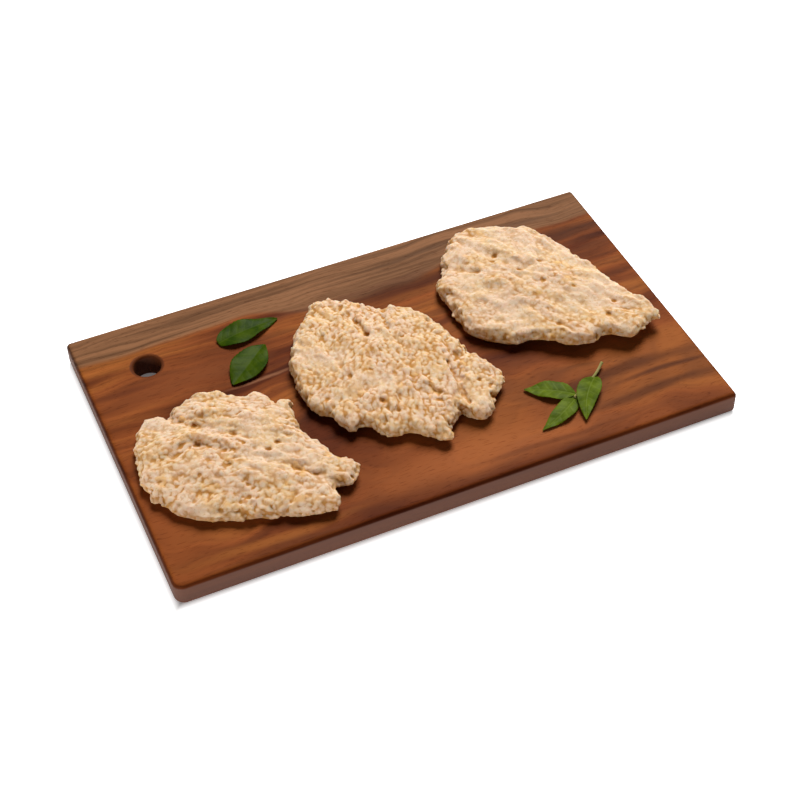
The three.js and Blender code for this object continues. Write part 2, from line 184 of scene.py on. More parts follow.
def board_ring(inset, height):
    """The outline of the board at a height, drawn in from its widest by an inset."""
    ring = []
    for corner, (side_x, side_y) in enumerate(((1, -1), (1, 1), (-1, 1), (-1, -1))):
        radius = max(CORNER_RADII[corner] - inset, SHARPEST_R)
        x = side_x * (BOARD_LENGTH / 2 - inset - radius)
        y = side_y * (BOARD_WIDTH / 2 - inset - radius)
        for step in range(CORNER_STEPS + 1):
            turn = math.radians(90 * (corner - 1 + step / CORNER_STEPS))
            spot_x, spot_y = x + radius * math.cos(turn), y + radius * math.sin(turn)
            ring.append((spot_x * MM, spot_y * MM, height * MM))
    return ring


def hole_ring(widening, height):
    """The hole's round at a height, opened out from its bore by a widening."""
    reach = HOLE_R + widening
    middle_x, middle_y = HOLE_CENTRE
    turns = [2 * math.pi * side / HOLE_SIDES for side in range(HOLE_SIDES)]
    spots = [(middle_x + reach * math.cos(t), middle_y + reach * math.sin(t)) for t in turns]
    return [(x * MM, y * MM, height * MM) for x, y in spots]


def eased_section(radius):
    """Insets and heights up a wall with both edges eased, from a flat ring on one face to the other."""
    arc = [math.radians(90 * step / EDGE_STEPS) for step in range(EDGE_STEPS + 1)]
    lower = [(radius * (1 - math.sin(t)), radius * (1 - math.cos(t))) for t in arc]
    upper = [(inset, BOARD_THICKNESS - height) for inset, height in reversed(lower)]
    return [(radius + FLAT_RING, 0)] + lower + upper + [(radius + FLAT_RING, BOARD_THICKNESS)]


def board_mesh(name):
    """The plank: a wall of rings round the outside and another down the hole, and two faces between."""
    points, faces, rims = [], [], []
    for ring_at, radius in ((board_ring, EASED_EDGE_R), (hole_ring, EASED_RIM_R)):
        rings = []
        for inset, height in eased_section(radius):
            ring = ring_at(inset, height)
            rings.append(range(len(points), len(points) + len(ring)))
            points += ring
        for below, above in zip(rings, rings[1:]):
            for i in range(len(below)):
                j = (i + 1) % len(below)
                faces.append((below[i], below[j], above[j], above[i]))
        rims.append((rings[0], rings[-1]))
    piece = mesh_piece(name, points, faces)
    mesh = bmesh.new()
    mesh.from_mesh(piece.data)
    mesh.verts.ensure_lookup_table()
    for outer, inner in zip(*rims):
        edges = []
        for ring in (outer, inner):
            for i in range(len(ring)):
                edges.append(mesh.edges.get((mesh.verts[ring[i]], mesh.verts[ring[(i + 1) % len(ring)]])))
        bmesh.ops.triangle_fill(mesh, edges=edges, use_beauty=True)
    bmesh.ops.recalc_face_normals(mesh, faces=mesh.faces)
    mesh.to_mesh(piece.data)
    mesh.free()
    piece.data.shade_smooth()
    return piece


def oiled_acacia():
    """Oiled acacia: a satin skin over streaks that run the plank's length, with fine open pores."""
    material, shader = new_material("oiled_acacia")

    def add(kind, sockets=(), **settings):
        return add_node(material, kind, sockets, **settings)

    in_metres = add("ShaderNodeTexCoord").outputs["Object"]
    place = add("ShaderNodeVectorMath", {0: in_metres, "Scale": 1 / MM}, operation="SCALE").outputs[0]
    # The fibres wander a few millimetres off the plank's length, in waves about 75 mm long.
    wave_place = add("ShaderNodeMapping", {"Vector": place, "Scale": (1 / 75, 1 / 40, 1 / 40)}).outputs[0]
    waves = add("ShaderNodeTexNoise", {"Vector": wave_place, "Scale": 1.0, "Detail": 2.0}).outputs["Color"]
    centred = add("ShaderNodeVectorMath", {0: waves, 1: (0.5, 0.5, 0.5)}, operation="SUBTRACT").outputs[0]
    wander = add("ShaderNodeVectorMath", {0: centred, "Scale": FIBRE_WANDER}, operation="SCALE").outputs[0]
    fibre_place = add("ShaderNodeVectorMath", {0: place, 1: wander}, operation="ADD").outputs[0]
    apart = add("ShaderNodeSeparateXYZ", {"Vector": fibre_place})
    to_pith = (0, -PITH_Y, -PITH_Z)
    from_pith = add("ShaderNodeVectorMath", {0: fibre_place, 1: to_pith}, operation="ADD").outputs[0]
    from_pith = add("ShaderNodeVectorMath", {0: from_pith, 1: (0, 1, 1)}, operation="MULTIPLY").outputs[0]
    ring = add("ShaderNodeVectorMath", {0: from_pith}, operation="LENGTH").outputs["Value"]

    def streaks(length, width, detail, start):
        """Noise drawn out along the fibres and even along a ring; its sizes are in millimetres."""
        spot = add("ShaderNodeCombineXYZ", {"X": apart.outputs["X"], "Y": ring}).outputs[0]
        drawn_out = {"Vector": spot, "Scale": (1 / length, 1 / width, 1), "Location": (start, start, 0)}
        spot = add("ShaderNodeMapping", drawn_out).outputs[0]
        sockets = {"Vector": spot, "Scale": 1.0, "Detail": detail, "Roughness": 0.6}
        return add("ShaderNodeTexNoise", sockets, noise_dimensions="2D").outputs["Fac"]

    def shades(value, stops):
        """The colours of a streak pattern, by its value."""
        node = add("ShaderNodeValToRGB", {"Fac": value})
        elements = node.color_ramp.elements
        for element, (position, colour) in zip(elements, (stops[0], stops[-1])):
            element.position = position
            element.color = linear(colour)
        for position, colour in stops[1:-1]:
            elements.new(position).color = linear(colour)
        return node.outputs["Color"]

    broad = streaks(190, 11, 2, 3.0)
    narrow = streaks(110, 2.6, 3, 9.0)
    heart = shades(broad, [(0.34, HEARTWOOD_DARK), (0.49, HEARTWOOD), (0.66, HEARTWOOD_LIGHT)])
    lines = shades(narrow, [(0.32, "#7c7472"), (0.50, "#c9c4c0"), (0.70, "#ffffff")])
    heart = add("ShaderNodeMix", {0: 0.55, 6: heart, 7: lines}, data_type="RGBA",
                blend_type="MULTIPLY").outputs[2]
    sap = shades(streaks(150, 2.4, 3, 17.0), [(0.30, SAPWOOD_DARK), (0.62, SAPWOOD)])
    # The sapwood's edge follows one ring, and dips towards the front in the board's middle.
    edge_ring = math.hypot(SAPWOOD_EDGE_Y - PITH_Y, BOARD_THICKNESS - PITH_Z)
    along = add("ShaderNodeMath", {0: apart.outputs["X"], 1: -SAPWOOD_DIP_X}, operation="ADD").outputs[0]
    along = add("ShaderNodeMath", {0: along, 1: SAPWOOD_DIP_REACH}, operation="DIVIDE").outputs[0]
    along = add("ShaderNodeMath", {0: along, 1: 2}, operation="POWER").outputs[0]
    dip_span = {"Value": along, "From Min": 1.0, "From Max": 0.0, "To Max": SAPWOOD_DIP}
    dip = add("ShaderNodeMapRange", dip_span, interpolation_type="SMOOTHSTEP").outputs[0]
    rings_out = add("ShaderNodeMath", {0: ring, 1: dip}, operation="ADD").outputs[0]
    wood = tinted(material, heart, sap, rings_out, edge_ring - SAPWOOD_BLUR, edge_ring + SAPWOOD_BLUR)
    for middle_x, middle_y, half_length, half_width, colour, strength in STREAKS:
        to_middle = (-middle_x, -middle_y, 0)
        offset = add("ShaderNodeVectorMath", {0: fibre_place, 1: to_middle}, operation="ADD").outputs[0]
        size = (1 / half_length, 1 / half_width, 0)
        offset = add("ShaderNodeVectorMath", {0: offset, 1: size}, operation="MULTIPLY").outputs[0]
        away = add("ShaderNodeVectorMath", {0: offset}, operation="LENGTH").outputs["Value"]
        wood = tinted(material, wood, linear(colour), away, 1.3, 0.2, strength)
    # Acacia's open pores are 0.2 mm across, and are drawn 0.5 mm across so that they show.
    pore_size = {"Vector": fibre_place, "Scale": (1 / 6, 1 / 0.5, 1 / 0.5)}
    pore_place = add("ShaderNodeMapping", pore_size).outputs[0]
    pores = add("ShaderNodeTexNoise", {"Vector": pore_place, "Scale": 1.0, "Detail": 0.0}).outputs["Fac"]
    pore_span = {"Value": pores, "From Min": 0.36, "From Max": 0.22}
    pore_depth = add("ShaderNodeMapRange", pore_span, interpolation_type="SMOOTHSTEP").outputs[0]
    pore_shade = {0: pore_depth, 6: (1, 1, 1, 1), 7: linear(PORE_SHADE)}
    pore_shade = add("ShaderNodeMix", pore_shade, data_type="RGBA").outputs[2]
    wood = add("ShaderNodeMix", {0: 1.0, 6: wood, 7: pore_shade}, data_type="RGBA",
               blend_type="MULTIPLY").outputs[2]
    # Painted shade darkens the eased edges, and a painted grey sheen with painted shade darkens the upright
    # sides.
    facing = add("ShaderNodeNewGeometry").outputs["Normal"]
    facing = add("ShaderNodeSeparateXYZ", {"Vector": facing}).outputs["Z"]
    flatness = add("ShaderNodeMath", {0: facing}, operation="ABSOLUTE").outputs[0]
    eased = add("ShaderNodeMix", {0: 1.0, 6: wood, 7: linear(EASED_EDGE_PAINTED_SHADE)}, data_type="RGBA",
                blend_type="MULTIPLY").outputs[2]
    wood = tinted(material, wood, eased, flatness, 0.98, 0.7)
    wood = tinted(material, wood, linear(SIDE_PAINTED_SHEEN_AND_SHADE), flatness, 0.45, 0.1, 0.75)
    # A ring of painted shade lies on the hole's eased rim, strongest on its left and right.
    to_middle = (-HOLE_CENTRE[0], -HOLE_CENTRE[1], 0)
    to_hole = add("ShaderNodeVectorMath", {0: place, 1: to_middle}, operation="ADD").outputs[0]
    to_hole = add("ShaderNodeVectorMath", {0: to_hole, 1: (1, 1, 0)}, operation="MULTIPLY").outputs[0]
    across = add("ShaderNodeVectorMath", {0: to_hole}, operation="NORMALIZE").outputs[0]
    across = add("ShaderNodeSeparateXYZ", {"Vector": across}).outputs["X"]
    across = add("ShaderNodeMath", {0: across}, operation="ABSOLUTE").outputs[0]
    rim_shade_share = add("ShaderNodeMapRange", {"Value": across, "To Min": 0.5}).outputs[0]
    to_hole = add("ShaderNodeVectorMath", {0: to_hole}, operation="LENGTH").outputs["Value"]
    rim_out, rim_in = HOLE_R + HOLE_RIM_PAINTED_SHADE_WIDTH, HOLE_R + HOLE_RIM_PAINTED_SHADE_WIDTH - HOLE_RIM_PAINTED_SHADE_BLUR
    wood = tinted(material, wood, linear(HOLE_RIM_PAINTED_SHADE), to_hole, rim_out, rim_in, rim_shade_share)
    links = material.node_tree.links
    links.new(wood, shader.inputs["Base Color"])
    roughness = add("ShaderNodeMapRange", {"Value": narrow, "To Min": 0.44, "To Max": 0.58}).outputs[0]
    links.new(roughness, shader.inputs["Roughness"])
    bump = add("ShaderNodeBump", {"Height": narrow, "Strength": 0.3, "Distance": 0.12 * MM}).outputs[0]
    pore_bump = {"Height": pore_depth, "Normal": bump, "Strength": 0.4, "Distance": 0.1 * MM}
    bump = add("ShaderNodeBump", pore_bump, invert=True).outputs[0]
    links.new(bump, shader.inputs["Normal"])
    shader.inputs["IOR"].default_value = 1.47
    shader.inputs["Specular IOR Level"].default_value = 0.025
    return material


board = board_mesh("acacia_board")
board.data.materials.append(oiled_acacia())
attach(board, "root")
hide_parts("board")

# ------------------------------------------------------------------------------------------------
# The fillets: chicken breasts beaten flat, dipped in batter and rolled in coarse flour and crumbs,
# which cling in wrinkles, clumps and crumbs. The clumps' crests are dusty with flour. The tan between
# them is partly the batter's own colour and partly painted shade, and painted shade also darkens the
# hollows, the pits and the sides.

BOARD_TOP = BOARD_THICKNESS * MM
COAT_VOXEL = 0.56 * MM
SKIN_DEPTH = 0.7
LUMPS_NEAR = 8
CLUMP_TRIES = 14000
CLUMP_SPACING = 2.6
CRUMB_TRIES = 24000
CRUMB_SPACING = 1.9
# The least and most of a lump's half length, half width and height.
CLUMP_SIZES = ((1.3, 3.0), (1.0, 2.0), (0.3, 1.1))
CRUMB_SIZES = ((0.8, 1.3), (0.6, 1.0), (0.05, 0.3))
WRINKLE_SPACING = 5.6
WRINKLE_HEIGHT = 0.5
# How many times longer than wide the wrinkles are, and how narrow their crests.
WRINKLE_STRETCH = 2.1
WRINKLE_SHARPNESS = 3.4
WRINKLE_WANDER = 3.2
WANDER_SPACING = 11
SWELL_SPACING = 14
SWELL_HEIGHT = 0.3
RIM_FURROW_SPACING = 6.5
RIM_FURROW_DEPTH = 1.6
RIM_FURROW_SHARPNESS = 3.2
RIM_ROUGH = 1.1
# The lumps' outlines are pushed about by this much, in waves this far apart.
LUMP_WARP = 1.3
LUMP_WARP_SPACING = 2.4
# The lumps turn off the grain together, in patches, and each a little by itself, in radians.
LUMP_TURN = 1.1
LUMP_TURN_SPACING = 22
LUMP_STRAY = 0.22
CRUMB_PATCHES = 9
FLOUR_PATCHES = 19
FLOUR_SPREAD = 0.9
MOST_FLOUR = 0.7
TONE_PATCHES = 15
TONE_SPREAD = 0.22
BARE_PIT_DEPTH = 0.8
# Spacing and height of the two finest roughnesses.
GRITS = ((1.6, 0.12, (4, 4, 2)), (0.9, 0.08, (9, 1, 3)))
# Rounds of averaging: to smooth the skin and its normals, and for the levels that hollows and
# creases are measured from.
SKIN_ROUNDS = 3
NORMAL_ROUNDS = 12
HOLLOW_ROUNDS = 70
CREASE_ROUNDS = 15
FLOUR_WHITE = "#dfc9ae"
COATING = "#dab587"
COATING_PINK = "#dab797"
# The batter's tan, also used for painted shade in creases, hollows and down the sides; the pits' brown is
# partly painted shade.
BATTER_TAN_AND_SHADE = "#b57d3c"
PIT_BROWN_AND_SHADE = "#8f5826"
CRUMB_GOLD = "#dba556"
# What the material reads off each point of the coating.
KEPT_FOR_COLOUR = ("relief", "crease", "tone", "crest", "dusty", "wall")

# The folds and pits were placed on fillets a few millimetres thicker. On these lower tops
# they lie further back, by this much in x and y. In front of each fillet's middle the share of it
# starts to fall at one distance, and falls over another to the least.
SET_BACK_X = 2
SET_BACK_Y = 4.4
SET_BACK_FADES_AT = 24
SET_BACK_FADES_OVER = 20
LEAST_SET_BACK = 0.25

# For each fillet: the way its wrinkles lie, in degrees; how rough its lumps are; how much loose
# flour lies on it; how much of their height its folds keep; its middle's y; its folds, from x, y to
# x, y with a half width and a height, which is negative for a furrow; and its pits, each with x, y,
# half width and depth.
FILLETS = {
    "left": {
        "grain": -32,
        "rough": 0.54,
        "floured": 0.1,
        "folded": 0.85,
        "middle_y": -33,
        "folds": (
            (-147, -22, -131, -18, 2.4, 1.3), (-131, -18, -116, -28, 2.4, 1.3),
            (-116, -28, -106, -41, 2.2, 1.1), (-144, -28, -128, -25, 1.8, -1.2),
            (-128, -25, -113, -38, 1.8, -1.2), (-118, -44, -104, -64, 2, 1),
            (-122, -49, -108, -67, 1.6, -1), (-102, -55, -88, -67, 2.2, 1.2),
            (-98, -50, -83, -62, 1.6, -1.1), (-111, -14, -94, -28, 2.4, 1),
            (-114, -20, -98, -34, 1.8, -1.1), (-83, -64, -70, -66, 2, 1),
            (-125, -8, -107, -24, 1.5, -0.9), (-138, -55, -144, -61, 1.3, -1.6),
            (-126, -64, -130, -68, 1.3, -1.3), (-118, -67, -122, -73, 1.2, -1.3),
            (-110, -70, -114, -77, 1.2, -1.4), (-101, -74, -105, -80, 1.2, -1.3),
            (-91, -76, -100, -84, 1.4, -2), (-84, -83, -87, -89, 1.2, -1.4),
            (-79, -86, -82, -91, 1.2, -1.3), (-133, -59, -137, -65, 1.2, -1.2),
        ),
        "pits": (
            (-105.1, -35.3, 1.5, 2.4), (-93.8, -43.8, 1.7, 2.6), (-87.8, -40.1, 1.5, 2.2),
            (-114.4, -68.4, 1.4, 2), (-135, -47.1, 1.6, 1.8), (-118, -47.1, 1.5, 1.6),
            (-124.7, -7.2, 1.3, 1.4), (-57.3, -75.4, 1.3, 2), (-107.7, -25.1, 1.5, 1.6),
        ),
    },
    "middle": {
        "grain": 78,
        "rough": 0.7,
        "floured": 0.05,
        "folded": 0.85,
        "middle_y": -2,
        "folds": (
            (-12, 33, -10.5, 16, 1.5, -2), (-8.5, 33, -7.5, 17, 1.8, 1.1), (5, 31, 2.7, 12, 1.5, -1.6),
            (2.7, 12, 5, -5, 1.5, -1.4), (8.5, 30, 6.5, 10, 2, 1), (23, -24, 23, -52, 1.6, -2.2),
            (20, -24, 19.5, -50, 2.2, 1.2), (-20, 40, -24, 20, 2.2, 0.9), (-32, 20, -34, 0, 1.8, -1),
            (25, -5, 30, -22, 1.6, -1.2), (-12, -34, -16, -43, 1.2, -1.5), (-2, -20, -4, -42, 2, 0.9),
            (-44, -14, -47, -24, 1.5, -1), (8, -28, 8, -48, 1.8, -0.9), (-36, -38, -40, -47, 1.4, -1.5),
            (12, 48, 6, 30, 1.8, -1),
        ),
        "pits": (
            (-32.4, -11.6, 1.5, 1.9), (-22.1, -34.7, 1.7, 2.3), (-15.9, -42.7, 1.4, 1.8),
            (-25.5, -46.7, 1.6, 2.3), (-38.3, -47.4, 1.7, 2.6), (-34, -49, 1.6, 2.4),
            (-49.8, -20.1, 1.5, 1.9), (35.5, -39.1, 1.5, 2.4), (37.6, -51.5, 1.6, 2.2),
            (-10, 17, 1.4, 1.6), (40, -45, 1.3, 1.6),
        ),
    },
    "right": {
        "grain": -50,
        "rough": 0.27,
        "floured": 0.4,
        "folded": 0.42,
        "middle_y": 20,
        "folds": (
            (76, 36, 86, 16, 3.4, 1.6), (86, 16, 99, -11, 3.4, 1.5), (82, 37, 92, 22, 1.7, -1.5),
            (73, 48, 70, 31, 1.6, -1.5), (66, 44, 63, 28, 2, 1), (94, 29, 109, 31, 1.6, -1.3),
            (103, 13, 117, 1, 1.7, -1.2), (118, 22, 134, -6, 2.4, 1), (64, 8, 74, -12, 2, 0.9),
            (58, -6, 64, -14, 1.4, -1.4), (96, -17, 101, -28, 1.5, -1.5),
            (113, -33, 116, -41, 1.4, -1.5), (84, -22, 82, -32, 1.4, -1.5),
            (74, -18, 71, -28, 1.3, -1.3), (126, -24, 130, -40, 1.6, -1.2),
        ),
        "pits": (
            (87.5, 48.8, 1.7, 2.2), (84, 44, 1.5, 1.7), (94.6, 29.3, 1.5, 1.6), (108.6, 30.7, 1.5, 1.7),
            (102.8, 12.7, 1.6, 1.9), (116.7, 1.2, 1.6, 1.8), (126.2, -24.3, 1.6, 2),
            (121.1, -36, 1.6, 2.4), (113.7, -35.3, 1.5, 2.2), (96, -19.6, 1.4, 1.7),
            (84.3, -23.4, 1.6, 2.1), (57.3, -10.8, 1.7, 2.4), (63.5, -13.7, 1.6, 2.2),
            (134.2, -15.7, 1.4, 1.7),
        ),
    },
}


def read_points(mesh, field="co"):
    """The places, or the normals, of a mesh's vertices as an array."""
    values = np.empty(3 * len(mesh.vertices), np.float32)
    mesh.vertices.foreach_get(field, values)
    return values.reshape(-1, 3).astype(float)


def read_triangles(mesh):
    """The triangles of a mesh as an array."""
    mesh.calc_loop_triangles()
    triangles = np.empty(3 * len(mesh.loop_triangles), np.int32)
    mesh.loop_triangles.foreach_get("vertices", triangles)
    return triangles.reshape(-1, 3)


def triangle_mesh(name, points, triangles):
    """A mesh from arrays of points and of triangles."""
    made = bpy.data.meshes.new(name)
    made.vertices.add(len(points))
    made.vertices.foreach_set("co", np.asarray(points, np.float32).ravel())
    made.loops.add(3 * len(triangles))
    made.loops.foreach_set("vertex_index", np.asarray(triangles, np.int32).ravel())
    made.polygons.add(len(triangles))
    made.polygons.foreach_set("loop_start", np.arange(0, 3 * len(triangles), 3, dtype=np.int32))
    made.update(calc_edges=True)
    return made


def with_modifier(mesh, kind, **settings):
    """A new mesh: the given one with one modifier applied."""
    holder = bpy.data.objects.new("holder", mesh)
    bpy.context.scene.collection.objects.link(holder)
    modifier = holder.modifiers.new("modifier", kind)
    for name, value in settings.items():
        setattr(modifier, name, value)
    evaluated = holder.evaluated_get(bpy.context.evaluated_depsgraph_get())
    made = bpy.data.meshes.new_from_object(evaluated)
    bpy.data.objects.remove(holder)
    return made


def noise_at(points, spacing, start):
    """Smooth noise from -1 to 1 at points in metres, its features about a spacing in mm apart."""
    start = Vector(start)
    scale = 1 / (spacing * MM)
    return np.array([noise.noise(Vector(p) * scale + start) for p in points])


def wrinkles_at(points, grain):
    """Rounded ridges that wander along the grain, from -1 in the furrows to 1 on the crests."""
    starts = ((5, 1, 9), (2, 8, 4), (7, 7, 1))
    warp = np.stack([noise_at(points, WANDER_SPACING, start) for start in starts], axis=1)
    points = points + warp * WRINKLE_WANDER * MM
    turn = math.radians(grain)
    along = points[:, 0] * math.cos(turn) + points[:, 1] * math.sin(turn)
    across = points[:, 1] * math.cos(turn) - points[:, 0] * math.sin(turn)
    drawn_out = np.stack([along / WRINKLE_STRETCH, across, points[:, 2] / 1.6], axis=1)
    return 1 - WRINKLE_SHARPNESS * np.abs(noise_at(drawn_out, WRINKLE_SPACING, (11, 3, 6)))


def set_back(x, y, middle_y):
    """Where a spot placed for a thicker fillet lies on this one, to a tenth of a millimetre."""
    to_front = middle_y - y - SET_BACK_FADES_AT
    share = min(max(LEAST_SET_BACK, 1 - to_front / SET_BACK_FADES_OVER), 1)
    return round(x + SET_BACK_X * share, 1), round(y + SET_BACK_Y * share, 1)


def fold_heights(points, folds):
    """How far the folds raise or sink each point, by its distance from them seen from above."""
    raised = np.zeros(len(points))
    flat = points[:, :2] / MM
    for from_x, from_y, to_x, to_y, half_width, height in folds:
        start = np.array([from_x, from_y])
        run = np.array([to_x, to_y]) - start
        share = np.clip(((flat - start) @ run) / (run @ run), 0, 1)
        away = np.linalg.norm(flat - start - share[:, None] * run, axis=1)
        raised += height * np.exp(-((away / half_width) ** 2))
    return raised


def coated_skin(node, grain, rough, folded, folds):
    """The fillet's own body, its CAD node made fine and raised into swells, wrinkles and folds."""
    skin = with_modifier(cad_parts[node].data.copy(), "WELD", merge_threshold=0.02 * MM)
    skin = with_modifier(skin, "SUBSURF", levels=2, subdivision_type="SIMPLE")
    points, normals = read_points(skin), read_points(skin, "normal")
    upper = np.clip((normals[:, 2] + 0.5) / 0.5, 0, 1)
    height = SWELL_HEIGHT * noise_at(points, SWELL_SPACING, (3, 9, 2)) - SKIN_DEPTH
    height += rough * WRINKLE_HEIGHT * wrinkles_at(points, grain) + folded * fold_heights(points, folds)
    # The coating hangs down the sides in lobes, with furrows between them.
    steep = np.clip((0.9 - normals[:, 2]) / 0.5, 0, 1)
    round_the_rim = noise_at(points * [1, 1, 0], RIM_FURROW_SPACING, (2, 5, 3))
    furrow = np.clip(1 - RIM_FURROW_SHARPNESS * np.abs(round_the_rim), 0, 1)
    height -= RIM_FURROW_DEPTH * steep * furrow
    points = points + normals * (upper * height * MM)[:, None]
    return points, read_triangles(skin)


def scatter_over(points, triangles, count, rng):
    """Random spots over the triangles that face up or sideways, and which way each faces."""
    corners = points[triangles]
    cross = np.cross(corners[:, 1] - corners[:, 0], corners[:, 2] - corners[:, 0])
    area = np.linalg.norm(cross, axis=1)
    facing = cross / area[:, None]
    weight = np.where(facing[:, 2] > -0.35, area, 0)
    picked = rng.choice(len(triangles), count, p=weight / weight.sum())
    u, v = rng.uniform(0, 1, (2, count))
    over = u + v > 1
    u[over], v[over] = 1 - u[over], 1 - v[over]
    first, second, third = corners[picked].transpose(1, 0, 2)
    return first + u[:, None] * (second - first) + v[:, None] * (third - first), facing[picked]


def kept_apart(spots, apart):
    """The numbers of the spots that stay when each lies clear of those already taken."""
    taken = {}
    kept = []
    reach = (-1, 0, 1)
    for i, spot in enumerate(spots):
        x, y, z = (spot // apart).astype(int)
        near = [taken[key] for key in ((x + a, y + b, z + c) for a in reach for b in reach for c in reach)
                if key in taken]
        if all(np.linalg.norm(spots[j] - spot) > apart for j in near):
            taken[(x, y, z)] = i
            kept.append(i)
    return kept


def nearest(spots, points, count):
    """The numbers of the few spots nearest to each point, as an array with a row for each."""
    tree = kdtree.KDTree(len(spots))
    for i, spot in enumerate(spots):
        tree.insert(spot, i)
    tree.balance()
    return np.array([[found[1] for found in tree.find_n(point, count)] for point in points])


def lumps_at(points, seeds, facing, grain, sizes, rng):
    """Rounded lumps on the seeds, drawn out along the grain. Gives for each point how far it is
    raised in mm, how far up its lump it is as a share, and which lump that is."""
    count = len(seeds)
    turn = math.radians(grain) + LUMP_TURN * noise_at(seeds, LUMP_TURN_SPACING, (0, 0, 0))
    turn = turn + rng.normal(0, LUMP_STRAY, count)
    flow = np.stack([np.cos(turn), np.sin(turn), np.zeros(count)], axis=1)
    along = flow - 0.98 * facing * np.sum(flow * facing, axis=1, keepdims=True)
    along /= np.linalg.norm(along, axis=1, keepdims=True)
    axes = np.stack([along, np.cross(facing, along), facing], axis=1)
    length, width, height = [rng.uniform(low, high, count) for low, high in sizes]
    reach = np.stack([length, width, length], axis=1)
    near = nearest(seeds, points, LUMPS_NEAR)
    offset = (points[:, None] - seeds[near]) / MM
    parts = np.einsum("nkj,nkij->nki", offset, axes[near]) / reach[near]
    share = np.clip(1 - np.sum(parts**2, axis=2), 0, 1) ** 0.6
    raised = height[near] * share
    top = raised.argmax(axis=1)
    rows = np.arange(len(points))
    return raised[rows, top], share[rows, top], near[rows, top]


def averaged(values, edges, rounds):
    """Values at a mesh's vertices, averaged with their neighbours' a number of times."""
    count = np.bincount(edges.ravel(), minlength=len(values)).astype(float)[:, None]
    for _ in range(rounds):
        columns = [np.bincount(edges[:, 0], column[edges[:, 1]], len(values))
                   + np.bincount(edges[:, 1], column[edges[:, 0]], len(values)) for column in values.T]
        values = 0.5 * values + 0.5 * np.stack(columns, axis=1) / count
    return values


def breaded_fillet(side, grain, rough, floured, folded, middle_y, folds, pits, seed):
    """A fillet over its CAD node: the skin raised into clumps and crumbs, pitted and roughened."""
    rng = np.random.default_rng(seed)
    folds = [(*set_back(x, y, middle_y), *set_back(to_x, to_y, middle_y), *size)
             for x, y, to_x, to_y, *size in folds]
    skin_points, skin_triangles = coated_skin(f"fillet_{side}", grain, rough, folded, folds)
    skin = triangle_mesh(f"skin_{side}", skin_points, skin_triangles)
    coat = with_modifier(skin, "REMESH", mode="VOXEL", voxel_size=COAT_VOXEL)
    points, normals = read_points(coat), read_points(coat, "normal")
    edges = np.empty(2 * len(coat.edges), np.int32)
    coat.edges.foreach_get("vertices", edges)
    edges = edges.reshape(-1, 2)
    points = averaged(points, edges, SKIN_ROUNDS)
    outward = averaged(normals, edges, NORMAL_ROUNDS)
    outward /= np.linalg.norm(outward, axis=1, keepdims=True)
    starts = ((3, 1, 2), (6, 5, 8), (1, 9, 4))
    warp = np.stack([noise_at(points, LUMP_WARP_SPACING, start) for start in starts], axis=1)
    warped = points + LUMP_WARP * MM * warp
    spots, facing = scatter_over(skin_points, skin_triangles, CLUMP_TRIES, rng)
    kept = kept_apart(spots, CLUMP_SPACING * MM)
    clump_spots, clump_facing = spots[kept], facing[kept]
    raised, crest, clump = lumps_at(warped, clump_spots, clump_facing, grain, CLUMP_SIZES, rng)
    spots, facing = scatter_over(skin_points, skin_triangles, CRUMB_TRIES, rng)
    gritty = noise_at(spots, CRUMB_PATCHES, (1, 6, 8)) > -0.1
    spots, facing = spots[gritty], facing[gritty]
    kept = kept_apart(spots, CRUMB_SPACING * MM)
    more = lumps_at(warped, spots[kept], facing[kept], grain, CRUMB_SIZES, rng)[0]
    hollow = np.zeros(len(points))
    for x, y, half_width, depth in pits:
        pit_x, pit_y = set_back(x, y, middle_y)
        away = np.hypot(points[:, 0] / MM - pit_x, points[:, 1] / MM - pit_y)
        hollow += depth * np.exp(-((away / half_width) ** 2)) * (normals[:, 2] > -0.2)
    hollow = averaged(hollow[:, None], edges, 2)[:, 0]
    # Loose flour fills between the clumps in some places, but not on the rims or in the pits.
    wall = np.clip((0.8 - outward[:, 2]) / 0.6, 0, 1)
    bare = np.clip(1 - wall - hollow / BARE_PIT_DEPTH, 0, 1)
    dusty = floured + FLOUR_SPREAD * noise_at(points, FLOUR_PATCHES, (7, 3, 1))
    dusty = np.clip(dusty, 0, MOST_FLOUR) * bare
    raised = (rough + (RIM_ROUGH - rough) * wall) * (raised * (1 - dusty) + more)
    raised += sum(height * noise_at(points, spacing, start) for spacing, height, start in GRITS)
    above = np.clip((outward[:, 2] + 0.75) / 0.5, 0, 1)
    points = points + outward * ((raised * above - hollow) * MM)[:, None]
    points = averaged(points, edges, 2)
    points[:, 2] = np.maximum(points[:, 2], BOARD_TOP + 0.1 * MM)
    level = averaged(points, edges, HOLLOW_ROUNDS)
    relief = np.einsum("ij,ij->i", points - level, outward) / MM
    near_level = averaged(points, edges, CREASE_ROUNDS)
    crease = np.einsum("ij,ij->i", near_level - points, outward) / MM
    # Each clump of coating keeps a tone of its own.
    tones = 0.5 + 0.5 * noise_at(clump_spots, TONE_PATCHES, (2, 2, 9))
    tones = np.clip(tones + rng.normal(0, TONE_SPREAD, len(clump_spots)), 0, 1)
    tone, crest = averaged(np.stack([tones[clump], crest], axis=1), edges, 1).T
    coat.vertices.foreach_set("co", points.astype(np.float32).ravel())
    for name, values in zip(KEPT_FOR_COLOUR, (relief, crease, tone, crest, dusty, wall)):
        coat.attributes.new(name, "FLOAT", "POINT").data.foreach_set("value", values.astype(np.float32))
    coat.shade_smooth()
    coat.name = f"breaded_fillet_{side}"
    fillet = bpy.data.objects.new(f"breaded_fillet_{side}", coat)
    bpy.context.scene.collection.objects.link(fillet)
    return fillet


